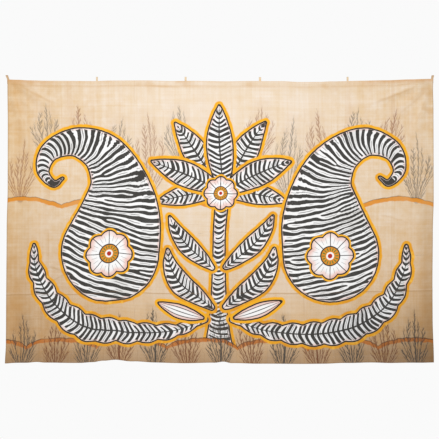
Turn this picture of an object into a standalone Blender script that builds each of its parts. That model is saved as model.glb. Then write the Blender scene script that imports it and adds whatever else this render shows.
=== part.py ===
"""A wall tapestry: one wide painted cotton cloth with a turned top hem, hung by six loops of cotton tape.

Metres, +Z up. The front of the cloth faces -Y and the wall is at +Y. The origin is at the middle of the
hanging line: the level line that the nails or the rod take through the loops.
"""

import math

import bmesh
import bpy
from mathutils import Vector

# Driving sizes
CLOTH_THICKNESS = 0.0015
HEM_DEPTH = 0.041
HEM_THICKNESS = 0.0028
PIECE_GAP = 0.0003
TAPE_THICKNESS = 0.0012
LOOP_INNER_RADIUS = 0.0048
LOOP_LEG_LENGTH = 0.032

# The back of the hem lies against the tape legs, which straddle the hanging line
LEG_HALF_DEPTH = TAPE_THICKNESS + PIECE_GAP / 2
CLOTH_BACK = -(LEG_HALF_DEPTH + PIECE_GAP)
CLOTH_FRONT = CLOTH_BACK - HEM_THICKNESS

# The cloth's four edges as it hangs: each row is a place along the edge and where the edge lies there
TOP_EDGE = (  # across, height
    (-1.594, -0.0215),
    (-1.520, -0.0238),
    (-1.430, -0.0288),
    (-1.280, -0.0315),
    (-0.980, -0.0335),
    (-0.800, -0.0300),
    (-0.560, -0.0290),
    (-0.380, -0.0335),
    (-0.200, -0.0315),
    (0.060, -0.0356),
    (0.230, -0.0328),
    (0.460, -0.0344),
    (0.600, -0.0412),
    (0.740, -0.0398),
    (0.840, -0.0361),
    (1.060, -0.0311),
    (1.240, -0.0280),
    (1.420, -0.0212),
    (1.602, -0.0165),
)
BOTTOM_EDGE = (  # across, height
    (-1.608, -2.1500),
    (-1.540, -2.1465),
    (-1.455, -2.1455),
    (-1.370, -2.1390),
    (-1.310, -2.1445),
    (-1.040, -2.1457),
    (-0.950, -2.1405),
    (-0.870, -2.1278),
    (-0.775, -2.1178),
    (-0.650, -2.1330),
    (-0.490, -2.1435),
    (-0.240, -2.1488),
    (-0.040, -2.1450),
    (0.028, -2.1355),
    (0.090, -2.1480),
    (0.300, -2.1520),
    (0.520, -2.1533),
    (0.790, -2.1525),
    (0.950, -2.1455),
    (1.150, -2.1435),
    (1.280, -2.1465),
    (1.430, -2.1452),
    (1.604, -2.1435),
)
LEFT_EDGE = (  # share of the drop, across
    (0.00, -1.594),
    (0.17, -1.590),
    (0.38, -1.590),
    (0.52, -1.597),
    (0.86, -1.600),
    (0.93, -1.601),
    (1.00, -1.608),
)
RIGHT_EDGE = (  # share of the drop, across
    (0.00, 1.602),
    (0.04, 1.600),
    (0.10, 1.603),
    (0.42, 1.604),
    (0.54, 1.597),
    (0.72, 1.594),
    (0.84, 1.595),
    (1.00, 1.604),
)

# Soft folds that run down the cloth: where each lies at the top and at the bottom, its half width,
# and how far it stands forward at the top and at the bottom
FOLDS = (  # across at top, across at bottom, half width, forward at top, forward at bottom
    (-1.560, -1.590, 0.045, 0.0050, 0.0120),
    (-1.420, -1.400, 0.070, 0.0060, 0.0090),
    (-1.180, -1.120, 0.110, 0.0030, 0.0140),
    (-0.700, -0.755, 0.125, 0.0030, 0.0420),
    (-0.420, -0.360, 0.120, 0.0040, 0.0110),
    (-0.060, 0.030, 0.060, 0.0030, 0.0170),
    (0.140, 0.270, 0.130, 0.0030, 0.0100),
    (0.600, 0.640, 0.150, 0.0070, 0.0130),
    (0.850, 0.980, 0.090, 0.0030, 0.0160),
    (1.150, 1.260, 0.120, 0.0040, 0.0100),
    (1.500, 1.520, 0.060, 0.0040, 0.0110),
)
LEAN_FORWARD_AT_BOTTOM = 0.012

# Drag folds that the corner loops pull into the cloth: each runs from the corner and dies out
DRAG_FOLDS = (  # from across, from height, to across, to height, half width, forward
    (-1.590, -0.030, -1.170, -0.270, 0.030, 0.0090),
    (-1.590, -0.030, -1.440, -0.520, 0.028, 0.0070),
    (1.600, -0.020, 1.080, -0.215, 0.030, 0.0110),
    (1.600, -0.020, 1.260, -0.340, 0.030, 0.0070),
    (1.600, -0.020, 1.400, -0.560, 0.032, 0.0060),
)

# The six tape loops: where each stands, the height of its seat on the nail, how far it leans across over
# its own height, and how wide its tape is
LOOPS = (  # across, seat height, lean across, tape width
    (-1.588, 0.0102, -0.0125, 0.017),
    (-0.923, -0.0025, 0.0000, 0.013),
    (-0.257, -0.0023, 0.0000, 0.015),
    (0.302, -0.0043, 0.0000, 0.017),
    (0.960, -0.0026, 0.0000, 0.014),
    (1.595, 0.0094, 0.0050, 0.017),
)
HOLD_ACROSS = 0.060
HOLD_DROP = 0.090

CORNER_ZONE = 0.42
CORNER_COLUMNS = 14
MIDDLE_COLUMNS = 26
TOP_ZONE = 0.36
TOP_ROWS = 10
LOWER_ROWS = 21
HEM_STEP = 0.003
LOOP_ARC_STEPS = 9


def clear_scene():
    for old in list(bpy.data.objects):
        bpy.data.objects.remove(old)


def plain_material(name, colour, roughness):
    material = bpy.data.materials.new(name)
    material.use_nodes = True
    shader = material.node_tree.nodes["Principled BSDF"]
    shader.inputs["Base Color"].default_value = (*colour, 1.0)
    shader.inputs["Roughness"].default_value = roughness
    shader.inputs["Metallic"].default_value = 0.0
    return material


def eased(table, place):
    """The table's second column at this place in its first, eased from row to row."""
    if place <= table[0][0]:
        return table[0][1]
    for (start, low), (end, high) in zip(table, table[1:]):
        if place <= end:
            share = (place - start) / (end - start)
            share = share * share * (3 - 2 * share)
            return low + (high - low) * share
    return table[-1][1]


def hump(distance, half_width):
    return math.exp(-((distance / half_width) ** 2))


def drag_height(across, height):
    """How far the corner drag folds push the cloth forward at this place."""
    total = 0.0
    place = Vector((across, height))
    for from_x, from_z, to_x, to_z, half_width, forward in DRAG_FOLDS:
        start, end = Vector((from_x, from_z)), Vector((to_x, to_z))
        run = end - start
        share = min(1.0, max(0.0, (place - start).dot(run) / run.length_squared))
        aside = (place - start - run * share).length
        fade = math.sin(math.pi * min(1.0, 0.12 + 0.88 * share))
        total += forward * fade * hump(aside, half_width * (0.6 + 0.8 * share))
    return total


def forward_of(across, height, share_down):
    """How far the cloth stands forward of its place at the loops."""
    total = LEAN_FORWARD_AT_BOTTOM * share_down
    for top_x, bottom_x, half_width, at_top, at_bottom in FOLDS:
        centre = top_x + (bottom_x - top_x) * share_down
        rise = at_top + (at_bottom - at_top) * share_down**1.6
        total += rise * hump(across - centre, half_width)
    total += drag_height(across, height)
    drop = share_down * (TOP_EDGE[0][1] - BOTTOM_EDGE[0][1])
    for loop_x, *_ in LOOPS:
        total *= 1 - hump(across - loop_x, HOLD_ACROSS) * hump(drop, HOLD_DROP)
    return total


def column_shares():
    """Shares across the cloth, closer together near its two sides."""
    width = RIGHT_EDGE[0][1] - LEFT_EDGE[0][1]
    zone = CORNER_ZONE / width
    left = [zone * i / CORNER_COLUMNS for i in range(CORNER_COLUMNS)]
    middle = [zone + (1 - 2 * zone) * i / MIDDLE_COLUMNS for i in range(MIDDLE_COLUMNS)]
    right = [1 - share for share in reversed(left)]
    return left + middle + [1 - zone] + right


def row_shares():
    """Shares down the cloth: the hem, its step, the closer rows near the top, and the rest."""
    drop = TOP_EDGE[0][1] - BOTTOM_EDGE[0][1]
    below_hem = HEM_DEPTH + HEM_STEP
    top = [below_hem + (TOP_ZONE - below_hem) * i / TOP_ROWS for i in range(TOP_ROWS)]
    lower = [TOP_ZONE + (drop - TOP_ZONE) * i / LOWER_ROWS for i in range(LOWER_ROWS + 1)]
    drops = [0.0, HEM_DEPTH / 2, HEM_DEPTH] + top + lower
    return [value / drop for value in drops]


def make_cloth(material):
    """The cloth as one sheet: a grid laid on its folds, thickened backwards, and thicker in the hem."""
    columns, rows = column_shares(), row_shares()
    drop = TOP_EDGE[0][1] - BOTTOM_EDGE[0][1]
    bm = bmesh.new()
    layer = bm.verts.layers.deform.verify()
    grid = []
    for down in rows:
        line = []
        for along in columns:
            left, right = eased(LEFT_EDGE, down), eased(RIGHT_EDGE, down)
            x = left + (right - left) * along
            top, bottom = eased(TOP_EDGE, x), eased(BOTTOM_EDGE, x)
            z = top + (bottom - top) * down
            vert = bm.verts.new((x, CLOTH_FRONT - forward_of(x, z, down), z))
            in_hem = down * drop <= HEM_DEPTH + 1e-6
            vert[layer][0] = 1.0 if in_hem else CLOTH_THICKNESS / HEM_THICKNESS
            line.append(vert)
        grid.append(line)
    for upper, lower in zip(grid, grid[1:]):
        for i in range(len(columns) - 1):
            bm.faces.new((upper[i], lower[i], lower[i + 1], upper[i + 1]))
    mesh = bpy.data.meshes.new("cloth")
    bm.to_mesh(mesh)
    bm.free()
    mesh.materials.append(material)
    cloth = bpy.data.objects.new("cloth", mesh)
    bpy.context.scene.collection.objects.link(cloth)
    cloth.vertex_groups.new(name="thickness")
    solidify = cloth.modifiers.new("thickness", "SOLIDIFY")
    solidify.thickness = HEM_THICKNESS
    solidify.offset = -1
    solidify.vertex_group = "thickness"
    mesh.shade_smooth()
    return cloth


def loop_path(seat, edge):
    """The tape's middle line in the YZ plane: up the front leg, over the nail, and down the back leg."""
    leg_y = TAPE_THICKNESS / 2 + PIECE_GAP / 2
    radius = LOOP_INNER_RADIUS + TAPE_THICKNESS / 2
    crown = seat - LOOP_INNER_RADIUS
    neck = edge + 0.002
    half = [(-leg_y, edge - LOOP_LEG_LENGTH), (-leg_y, neck)]
    half.append((-(leg_y + radius) / 2, neck + (crown - neck) * 0.45))
    arc = []
    for i in range(LOOP_ARC_STEPS + 1):
        turn = math.pi * i / LOOP_ARC_STEPS
        arc.append((-radius * math.cos(turn), crown + radius * math.sin(turn)))
    return half + arc + [(-y, z) for y, z in reversed(half)]


def make_loop(number, across, seat, lean, tape_width, material):
    """One hanging loop: a tape folded over the nail, its two legs laid together behind the hem."""
    edge = eased(TOP_EDGE, across)
    bm = bmesh.new()
    for y, z in loop_path(seat, edge):
        shift = lean * max(0.0, (z - edge) / (seat - edge))
        bm.verts.new((across + shift - tape_width / 2, y, z))
    bm.verts.ensure_lookup_table()
    chain = [bm.edges.new(pair) for pair in zip(bm.verts[:-1], bm.verts[1:])]
    swept = bmesh.ops.extrude_edge_only(bm, edges=chain)
    moved = [item for item in swept["geom"] if isinstance(item, bmesh.types.BMVert)]
    bmesh.ops.translate(bm, verts=moved, vec=(tape_width, 0, 0))
    bmesh.ops.recalc_face_normals(bm, faces=bm.faces)
    name = f"tape_loop_{number}"
    mesh = bpy.data.meshes.new(name)
    bm.to_mesh(mesh)
    bm.free()
    mesh.materials.append(material)
    loop = bpy.data.objects.new(name, mesh)
    bpy.context.scene.collection.objects.link(loop)
    solidify = loop.modifiers.new("thickness", "SOLIDIFY")
    solidify.thickness = TAPE_THICKNESS
    solidify.offset = 0
    solidify.use_even_offset = True
    return loop


def build():
    clear_scene()
    cotton = plain_material("painted cotton", (0.72, 0.55, 0.36), 0.9)
    tape = plain_material("cotton tape", (0.60, 0.43, 0.26), 0.9)
    make_cloth(cotton)
    for number, loop in enumerate(LOOPS, start=1):
        make_loop(number, *loop, tape)


build()
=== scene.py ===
# A painted cotton wall hanging on six tape loops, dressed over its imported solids. Metres, +Z up, the
# painted face towards -Y, and the origin at the middle of the line that the loops hang from.
import math

import bpy
import numpy as np
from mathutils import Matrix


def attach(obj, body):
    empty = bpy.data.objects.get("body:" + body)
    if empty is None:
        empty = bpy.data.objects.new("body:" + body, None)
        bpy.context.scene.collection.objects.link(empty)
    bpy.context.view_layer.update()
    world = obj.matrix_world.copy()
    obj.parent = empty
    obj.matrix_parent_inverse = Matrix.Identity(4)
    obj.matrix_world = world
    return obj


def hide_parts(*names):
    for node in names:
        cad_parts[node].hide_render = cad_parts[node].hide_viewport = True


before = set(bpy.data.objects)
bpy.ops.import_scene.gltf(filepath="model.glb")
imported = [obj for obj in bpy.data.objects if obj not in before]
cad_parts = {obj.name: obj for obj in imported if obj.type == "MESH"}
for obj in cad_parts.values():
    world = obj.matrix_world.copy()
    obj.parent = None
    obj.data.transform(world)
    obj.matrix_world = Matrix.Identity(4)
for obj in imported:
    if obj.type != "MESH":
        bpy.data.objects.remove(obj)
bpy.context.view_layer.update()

print("frame loaded:", len(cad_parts), "solids")

# The view: square on to the cloth, 3.29 m of wall from edge to edge of the picture
view = {
    "across": -0.0023, "height": -1.0725, "acrossPicture": 3.2925, "forward": 0.012, "lens": 85.0,
    "sensor": 36.0, "clip": (0.05, 100.0),
}

# The sheet: how it was cut, how it is held, and how finely it is drawn
cloth = {
    "flatSize": (3.20, 2.16),  # as cut, with the hem let down
    "columns": 264,
    "rows": 176,
    "thickness": 0.0015,
    "hemThickness": 0.0028,
    "hemDepth": 0.041,
    "hemLines": (0.0, 0.013, 0.027),  # rows of points in the hem, down from its top
    "hemStep": 0.003,  # from its turned edge to the next row
    "mapTop": -0.03,  # the flat map's height at the top edge
    "hangs": 2.115,  # and its drop, with the hem turned back
    "front": -0.00445,  # the plane of the painted face where the loops hold it
    "topEdge": (  # across, height
        (-1.594, -0.0215), (-1.520, -0.0238), (-1.430, -0.0288), (-1.280, -0.0315), (-0.980, -0.0335),
        (-0.800, -0.0300), (-0.560, -0.0290), (-0.380, -0.0335), (-0.200, -0.0315), (0.060, -0.0356),
        (0.230, -0.0328), (0.460, -0.0344), (0.600, -0.0412), (0.740, -0.0398), (0.840, -0.0361),
        (1.060, -0.0311), (1.240, -0.0280), (1.420, -0.0212), (1.602, -0.0165),
    ),
    "bottomEdge": (  # across, height
        (-1.608, -2.1500), (-1.540, -2.1465), (-1.455, -2.1455), (-1.370, -2.1390), (-1.310, -2.1445),
        (-1.040, -2.1457), (-0.950, -2.1405), (-0.870, -2.1278), (-0.775, -2.1178), (-0.650, -2.1330),
        (-0.490, -2.1435), (-0.240, -2.1488), (-0.040, -2.1450), (0.028, -2.1355), (0.090, -2.1480),
        (0.300, -2.1520), (0.520, -2.1533), (0.790, -2.1525), (0.950, -2.1455), (1.150, -2.1435),
        (1.280, -2.1465), (1.430, -2.1452), (1.604, -2.1435),
    ),
    "leftEdge": (  # share of the drop, across
        (0.00, -1.594), (0.17, -1.590), (0.38, -1.590), (0.52, -1.597), (0.86, -1.600), (0.93, -1.601),
        (1.00, -1.608),
    ),
    "rightEdge": (  # share of the drop, across
        (0.00, 1.602), (0.04, 1.600), (0.10, 1.603), (0.42, 1.604), (0.54, 1.597), (0.72, 1.594),
        (0.84, 1.595), (1.00, 1.604),
    ),
    "loopsAcross": (-1.588, -0.923, -0.257, 0.302, 0.960, 1.595),
    "holdAcross": 0.060,
    "holdDrop": 0.090,
    "leanAtBottom": 0.012,
}

# Folds and creases that stand forward of the sheet, or behind it where the last value is negative
relief = {
    "folds": (  # across at top, across at bottom, half width, forward at top, forward at bottom
        (-1.560, -1.590, 0.045, 0.0050, 0.0120),
        (-1.420, -1.400, 0.070, 0.0060, 0.0090),
        (-1.180, -1.120, 0.110, 0.0030, 0.0140),
        (-0.700, -0.755, 0.125, 0.0030, 0.0420),
        (-0.420, -0.360, 0.120, 0.0040, 0.0110),
        (-0.060, 0.030, 0.060, 0.0030, 0.0170),
        (0.140, 0.270, 0.130, 0.0030, 0.0100),
        (0.600, 0.640, 0.150, 0.0070, 0.0130),
        (0.850, 0.980, 0.090, 0.0030, 0.0160),
        (1.150, 1.260, 0.120, 0.0040, 0.0100),
        (1.500, 1.520, 0.060, 0.0040, 0.0110),
    ),
    "drags": (  # from across, from height, to across, to height, half width, forward
        (-1.590, -0.030, -1.170, -0.270, 0.030, 0.0090),
        (-1.590, -0.030, -1.440, -0.520, 0.028, 0.0070),
        (1.600, -0.020, 1.080, -0.215, 0.030, 0.0110),
        (1.600, -0.020, 1.260, -0.340, 0.030, 0.0070),
        (1.600, -0.020, 1.400, -0.560, 0.032, 0.0060),
    ),
    "fineDrags": (  # the smaller puckers between them, same columns
        (-1.585, -0.045, -1.300, -0.120, 0.014, 0.0030),
        (-1.585, -0.060, -1.330, -0.330, 0.014, 0.0028),
        (1.595, -0.035, 1.230, -0.085, 0.013, 0.0034),
        (1.595, -0.045, 1.200, -0.190, 0.013, 0.0030),
        (1.590, -0.060, 1.330, -0.430, 0.014, 0.0026),
        (-1.330, -1.390, -1.120, -1.470, 0.018, 0.0030),
        (-1.310, -1.500, -1.160, -1.480, 0.016, 0.0026),
        (1.190, -1.060, 1.420, -1.130, 0.018, 0.0022),
    ),
    "creasesDown": (  # fold lines pressed in while it lay folded: across, half width, forward
        (-1.280, 0.012, 0.0018), (-0.640, 0.013, -0.0016), (-0.050, 0.012, 0.0020),
        (0.640, 0.013, -0.0016), (1.290, 0.012, 0.0024),
    ),
    "creasesAcross": (  # down from the top, half width, forward
        (0.530, 0.013, 0.0009), (1.060, 0.013, -0.0010), (1.621, 0.011, 0.0026),
    ),
    "creaseTilt": 0.0095,  # the level ones rise towards the right
    # those down, then those across: how far one wanders and over what length, how much of it fades and
    # over what length
    "creaseHand": ((0.006, 0.4, 0.40, 0.3), (0.004, 0.5, 0.35, 0.4)),
    "creaseSeeds": (5, 7),
    "ripple": ((0.34, 0.0030), (0.13, 0.0011), (0.055, 0.0005)),  # a wrinkle's size, how far it stands
    "rippleSeed": 11,
}


def eased(table, place):
    # The table's value at a place: between two rows it is low + (high - low)(3u^2 - 2u^3), with u the share
    # of the way.
    at, value = np.array(table).T
    k = np.clip(np.searchsorted(at, place) - 1, 0, len(at) - 2)
    u = np.clip((place - at[k]) / (at[k + 1] - at[k]), 0, 1)
    return value[k] + (value[k + 1] - value[k]) * u * u * (3 - 2 * u)


def hump(distance, halfWidth):
    # A soft ridge: e to the minus (distance over half width) squared.
    return np.exp(-((distance / halfWidth) ** 2))


def softNoise(x, z, size, seed):
    # Random heights on a square net of this size, eased from knot to knot: between -1 and 1.
    knots = np.random.default_rng(seed).uniform(-1, 1, (64, 64))
    i, j = np.floor(x / size).astype(int), np.floor(z / size).astype(int)
    u, v = x / size - i, z / size - j
    u, v = u * u * (3 - 2 * u), v * v * (3 - 2 * v)
    a, b = knots[j % 64, i % 64], knots[j % 64, (i + 1) % 64]
    c, d = knots[(j + 1) % 64, i % 64], knots[(j + 1) % 64, (i + 1) % 64]
    return (a * (1 - u) + b * u) * (1 - v) + (c * (1 - u) + d * u) * v


def pulled(x, z, drags):
    # Folds along straight lines: forward, times a sine that swells and dies along the line, times a hump
    # across it whose half width grows from 0.6 to 1.4 of the named one.
    total = np.zeros_like(x)
    for fromX, fromZ, toX, toZ, halfWidth, forward in drags:
        runX, runZ = toX - fromX, toZ - fromZ
        share = np.clip(((x - fromX) * runX + (z - fromZ) * runZ) / (runX**2 + runZ**2), 0, 1)
        aside = np.hypot(x - fromX - runX * share, z - fromZ - runZ * share)
        swell = np.sin(np.pi * np.minimum(1, 0.12 + 0.88 * share))
        total += forward * swell * hump(aside, halfWidth * (0.6 + 0.8 * share))
    return total


def leftDrop():
    # From the top left corner to the bottom left one.
    return cloth["topEdge"][0][1] - cloth["bottomEdge"][0][1]


def pressed(aside, along, rows, hand, seed):
    # Straight folds: a hump across each, moved aside by soft noise, and made lower by another.
    reach, length, fades, fadeLength = hand
    drift = reach * softNoise(along, along * 0, length, seed)
    shown = 1 - fades + fades * softNoise(along, along * 0, fadeLength, seed + 1)
    return sum(rise * hump(aside - place - drift, halfWidth) * shown for place, halfWidth, rise in rows)


def sheetAt(along, down):
    # The painted face: shares of the width and of the drop give a place between the four edges, and its
    # y is the held plane less the sum of the lean, folds, drags, creases and wrinkles, all nil at a loop.
    # A fold grows with the drop to the power 1.6.
    left, right = eased(cloth["leftEdge"], down), eased(cloth["rightEdge"], down)
    x = left + (right - left) * along
    top, bottom = eased(cloth["topEdge"], x), eased(cloth["bottomEdge"], x)
    z = top + (bottom - top) * down
    forward = cloth["leanAtBottom"] * down
    for topX, bottomX, halfWidth, atTop, atBottom in relief["folds"]:
        rise = atTop + (atBottom - atTop) * down**1.6
        forward = forward + rise * hump(x - topX - (bottomX - topX) * down, halfWidth)
    forward += pulled(x, z, relief["drags"]) + pulled(x, z, relief["fineDrags"])
    hands, seeds = relief["creaseHand"], relief["creaseSeeds"]
    forward += pressed(x, z, relief["creasesDown"], hands[0], seeds[0])
    forward += pressed(relief["creaseTilt"] * x - z, x, relief["creasesAcross"], hands[1], seeds[1])
    for k, (size, rise) in enumerate(relief["ripple"]):
        forward += rise * (0.5 + 0.5 * softNoise(x, z * 0.45, size, relief["rippleSeed"] + k))
    dropHere = down * leftDrop()
    for loopX in cloth["loopsAcross"]:
        forward *= 1 - hump(x - loopX, cloth["holdAcross"]) * hump(dropHere, cloth["holdDrop"])
    return np.stack([x, cloth["front"] - forward, z], axis=-1)


def makePiece(name, points, faces, material):
    # A mesh straight from arrays: points (n, 3) and four-cornered faces (m, 4), shaded smooth.
    mesh = bpy.data.meshes.new(name)
    mesh.vertices.add(len(points))
    mesh.vertices.foreach_set("co", np.asarray(points, np.float32).ravel())
    mesh.loops.add(faces.size)
    mesh.loops.foreach_set("vertex_index", faces.astype(np.int32).ravel())
    mesh.polygons.add(len(faces))
    mesh.polygons.foreach_set("loop_start", np.arange(0, faces.size, 4, dtype=np.int32))
    mesh.update(calc_edges=True)
    mesh.shade_smooth()
    mesh.set_sharp_from_angle(angle=math.radians(50))
    mesh.materials.append(material)
    piece = bpy.data.objects.new(name, mesh)
    bpy.context.scene.collection.objects.link(piece)
    return piece


def addNumbers(piece, name, values):
    # A vector for each point, which the piece's own material reads by this name.
    data = piece.data.attributes.new(name, "FLOAT_VECTOR", "POINT").data
    data.foreach_set("vector", np.stack(values, axis=-1).astype(np.float32).ravel())


def addMap(piece, name, flat):
    # A UV map in metres on the flat sheet.
    corners = np.zeros(len(piece.data.loops), np.int32)
    piece.data.loops.foreach_get("vertex_index", corners)
    piece.data.uv_layers.new(name=name).uv.foreach_set("vector", flat[corners].astype(np.float32).ravel())


class Wire:
    # One value in a shader. Python's operators on it add Math nodes, so shader maths reads as sums.
    def __init__(self, dye, socket):
        self.dye = dye
        self.socket = socket

    def __add__(self, other):
        return self.dye.math("ADD", self, other)

    def __sub__(self, other):
        return self.dye.math("SUBTRACT", self, other)

    def __rsub__(self, other):
        return self.dye.math("SUBTRACT", other, self)

    def __mul__(self, other):
        return self.dye.math("MULTIPLY", self, other)

    def __truediv__(self, other):
        return self.dye.math("DIVIDE", self, other)

    def __abs__(self):
        return self.dye.math("ABSOLUTE", self)

    __radd__ = __add__


class Dye:
    # A material under construction.
    def __init__(self, name):
        self.material = bpy.data.materials.new(name)
        self.material.use_nodes = True
        self.material.node_tree.nodes.clear()

    def node(self, kind, settings=None, values=None, out=0):
        # Any node: its settings first, then a value or a wire for each named or numbered socket.
        tree = self.material.node_tree
        made = tree.nodes.new(kind)
        for name, value in (settings or {}).items():
            if name == "stops":
                while len(made.color_ramp.elements) < len(value):
                    made.color_ramp.elements.new(0.5)
                for element, (place, colour) in zip(made.color_ramp.elements, value):
                    element.position, element.color = place, colour
            else:
                setattr(made, name, value)
        for place, value in (values or {}).items():
            if isinstance(value, Wire):
                tree.links.new(value.socket, made.inputs[place])
            else:
                made.inputs[place].default_value = value
        return Wire(self, made.outputs[out]) if len(made.outputs) else None

    def math(self, operation, *values):
        # One Math node on these values.
        return self.node("ShaderNodeMath", {"operation": operation}, dict(enumerate(values)))

    def between(self, low, high, value):
        # 0 at low and 1 at high, eased; low may be the larger one.
        values = {"Value": value, "From Min": low, "From Max": high}
        return self.node("ShaderNodeMapRange", {"interpolation_type": "SMOOTHSTEP"}, values)

    def mix(self, under, over, mask, blend="MIX"):
        # Colour over colour: under (1 - mask) + over mask, or another blend.
        settings = {"data_type": "RGBA", "blend_type": blend}
        return self.node("ShaderNodeMix", settings, {0: mask, 6: under, 7: over}, out=2)

    def split(self, vector, kind="ShaderNodeSeparateXYZ"):
        # A vector's or a colour's three parts.
        parts = self.node(kind, None, {0: vector})
        return [Wire(self, parts.socket.node.outputs[k]) for k in range(3)]

    def numbers(self, name):
        # The three numbers that the piece's points hold under this name.
        return self.split(self.node("ShaderNodeAttribute", {"attribute_name": name}, out="Vector"))

    def body(self):
        # The place on the piece itself.
        return self.node("ShaderNodeTexCoord", out="Object")

    def at(self, x, y, z=0.0):
        # A vector of three values.
        return self.node("ShaderNodeCombineXYZ", None, {0: x, 1: y, 2: z})

    def noise(self, place, scale, detail=1.0, sides="2D"):
        # Noise about nil, from -0.5 to 0.5, over the flat cloth or through the piece.
        values = {"Vector": place, "Scale": scale, "Detail": detail}
        return self.node("ShaderNodeTexNoise", {"noise_dimensions": sides}, values) - 0.5

    def threeNoises(self, place, scale):
        # A coloured noise's channels: three noises from 0 to 1.
        values = {"Vector": place, "Scale": scale, "Detail": 1.0}
        colour = self.node("ShaderNodeTexNoise", {"noise_dimensions": "2D"}, values, out="Color")
        return self.split(colour, "ShaderNodeSeparateColor")

    def lot(self, x, y):
        # A random number from 0 to 1 for each pair of numbers.
        values = {"Vector": self.at(x, y)}
        return self.node("ShaderNodeTexWhiteNoise", {"noise_dimensions": "2D"}, values, out="Value")

    def bump(self, height, strength, distance):
        # The normal that a height gives.
        values = {"Strength": strength, "Distance": distance, "Height": height}
        return self.node("ShaderNodeBump", None, values)

    def finish(self, sockets):
        # The surface shader, and the material's output.
        shader = self.node("ShaderNodeBsdfPrincipled", None, sockets)
        self.node("ShaderNodeOutputMaterial", None, {"Surface": shader})
        return self.material


def paint(red, green, blue):
    # A colour as a paint chart gives it, 0 to 255, turned into Blender's linear light.
    return (*(((c / 255 + 0.055) / 1.055) ** 2.4 for c in (red, green, blue)), 1.0)


# The painted design: a flowering stem between two great leaf drops, every form banded like the others
# and ringed in gold. Each row of a form is a place on its middle line and its half width there.
design = {
    "leafDrop": (  # across, height, half width
        (0.830, -1.330, 0.365), (0.765, -1.060, 0.305), (0.770, -0.820, 0.220), (0.880, -0.600, 0.155),
        (1.080, -0.490, 0.108), (1.280, -0.550, 0.072), (1.345, -0.700, 0.045), (1.270, -0.800, 0.026),
        (1.200, -0.760, 0.012),
    ),
    "sweepLeaf": (
        (0.100, -1.830, 0.022), (0.360, -1.905, 0.060), (0.720, -1.925, 0.090), (1.020, -1.870, 0.100),
        (1.260, -1.700, 0.088), (1.385, -1.460, 0.055), (1.400, -1.270, 0.014),
    ),
    "lowLeaf": (
        (0.050, -1.740, 0.022), (0.160, -1.650, 0.058), (0.290, -1.545, 0.078), (0.375, -1.410, 0.052),
        (0.400, -1.290, 0.012),
    ),
    "highLeaf": (
        (0.050, -1.440, 0.020), (0.140, -1.360, 0.052), (0.250, -1.260, 0.068), (0.340, -1.140, 0.045),
        (0.385, -1.040, 0.010),
    ),
    "stem": (
        (0.000, -2.100, 0.125), (0.000, -1.960, 0.088), (0.000, -1.700, 0.058), (0.000, -1.300, 0.046),
        (0.000, -0.900, 0.050),
    ),
    "bud": (
        (0.120, -1.815, 0.012), (0.200, -1.790, 0.040), (0.300, -1.752, 0.052), (0.390, -1.715, 0.032),
        (0.450, -1.690, 0.008),
    ),
    "petalRows": (  # share along, share of the half width
        (0.10, 0.40), (0.32, 0.86), (0.58, 1.00), (0.82, 0.60), (1.00, 0.10),
    ),
    "frontPetals": ((0, 0.66, 0.100), (55, 0.57, 0.088), (-55, 0.57, 0.088)),  # turn, length, half width
    "backPetals": ((28, 0.63, 0.095), (-28, 0.63, 0.095), (82, 0.47, 0.074), (-82, 0.47, 0.074)),
    "petalRoot": -0.88,
    "petalDroop": 0.12,
    "samples": 100,
    "forks": 64,  # places where a band splits in two or ends
    "forksAcross": (-1.5, 1.5),
    "forksDown": (-2.0, -0.3),
    "forkSize": 0.02,  # within this of such a place the bands fade out
    "forkSeed": 3,
    "outside": -9.0,  # the depth where there is no form
    "noRib": 3.0,  # what a form without a midrib holds in place of its cross place
    "inkTip": (0.15, 0.02),  # how much of a leaf drop's curled tip is solid ink, and its soft start
    "lobe": (0.15, 0.018, 0.06),  # a lobe's length, the notch's depth, the half width that it flattens below
    "bandStart": 0.137,  # each next form's bands start this much on
    "bandSweep": 0.055,  # how far a leaf's bands sweep back from its rib
    "bandBow": 0.030,  # how far the other bands bow
    "handDrawn": (0.42, 0.014),  # size of the hand's wander from the plan, and how far it goes
    "handSeed": 21,
}


def curveThrough(rows, samples):
    # A smooth curve through rows of numbers: Catmull-Rom cubics, even steps in the row count.
    knots = np.array(rows, float)
    knots = np.vstack([2 * knots[0] - knots[1], knots, 2 * knots[-1] - knots[-2]])
    place = np.linspace(0, len(rows) - 1 - 1e-9, samples)
    i = place.astype(int)
    u = (place - i)[:, None]
    a, b, c, d = knots[i], knots[i + 1], knots[i + 2], knots[i + 3]
    return 0.5 * (2 * b + (c - a) * u + (2 * a - 5 * b + 4 * c - d) * u**2 + (3 * b - a - 3 * c + d) * u**3)


def brushForm(rows, x, z):
    # A form swept by a disc along its middle line. For each point of the cloth: depth, the greatest of
    # half width less distance; along, the line's length there plus the step past it; across, the step
    # aside over the half width; then that half width and the whole length.
    line = curveThrough(rows, design["samples"])
    half = np.maximum(line[:, 2], 0.002)
    tangent = np.gradient(line[:, :2], axis=0)
    tangent /= np.linalg.norm(tangent, axis=1)[:, None]
    length = np.concatenate([[0], np.cumsum(np.hypot(*np.diff(line[:, :2], axis=0).T))])
    depths = half - np.hypot(x[:, None] - line[:, 0], z[:, None] - line[:, 1])
    k = depths.argmax(axis=1)
    offX, offZ = x - line[k, 0], z - line[k, 1]
    along = length[k] + offX * tangent[k, 0] + offZ * tangent[k, 1]
    across = (offZ * tangent[k, 0] - offX * tangent[k, 1]) / half[k]
    return depths[np.arange(len(x)), k], along, across, half[k], length[-1]


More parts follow.
